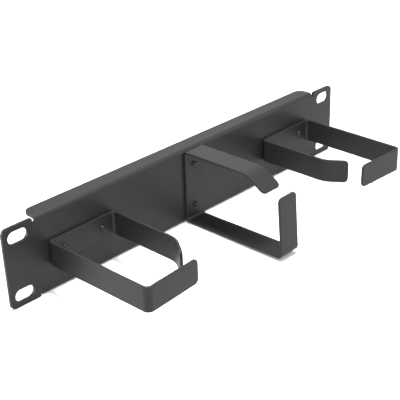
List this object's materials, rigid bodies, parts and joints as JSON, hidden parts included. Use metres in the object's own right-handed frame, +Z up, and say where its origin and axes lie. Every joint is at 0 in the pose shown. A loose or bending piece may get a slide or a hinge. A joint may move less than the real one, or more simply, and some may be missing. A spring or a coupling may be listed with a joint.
{
  "type": "cable management panel",
  "caption": "Folded steel rack panel with slotted ears, back-folded flanges and bent strip hooks with open mouths that guide cables.",
  "frame": {"origin": "middle of the four rack slots, on the back face of the ears, which seats on the rack", "axes": "+X along the panel to the right hook, +Y from the hooks through the sheet into the rack, +Z up"},
  "size_m": [0.254, 0.08, 0.044],
  "materials": {
    "panel_coat": "fine satin powder coat, charcoal black",
    "hook_coat": "fine satin powder coat, charcoal black",
    "rivet_coat": "semi-gloss powder coat, charcoal black"
  },
  "bodies": {
    "root": {"panel": "panel_coat", "left_hook": "hook_coat", "left_hook_rivet_1": "rivet_coat", "left_hook_rivet_2": "rivet_coat", "centre_hook": "hook_coat", "centre_hook_rivet_1": "rivet_coat", "centre_hook_rivet_2": "rivet_coat", "right_hook": "hook_coat", "right_hook_rivet_1": "rivet_coat", "right_hook_rivet_2": "rivet_coat"}
  },
  "joints": []
}
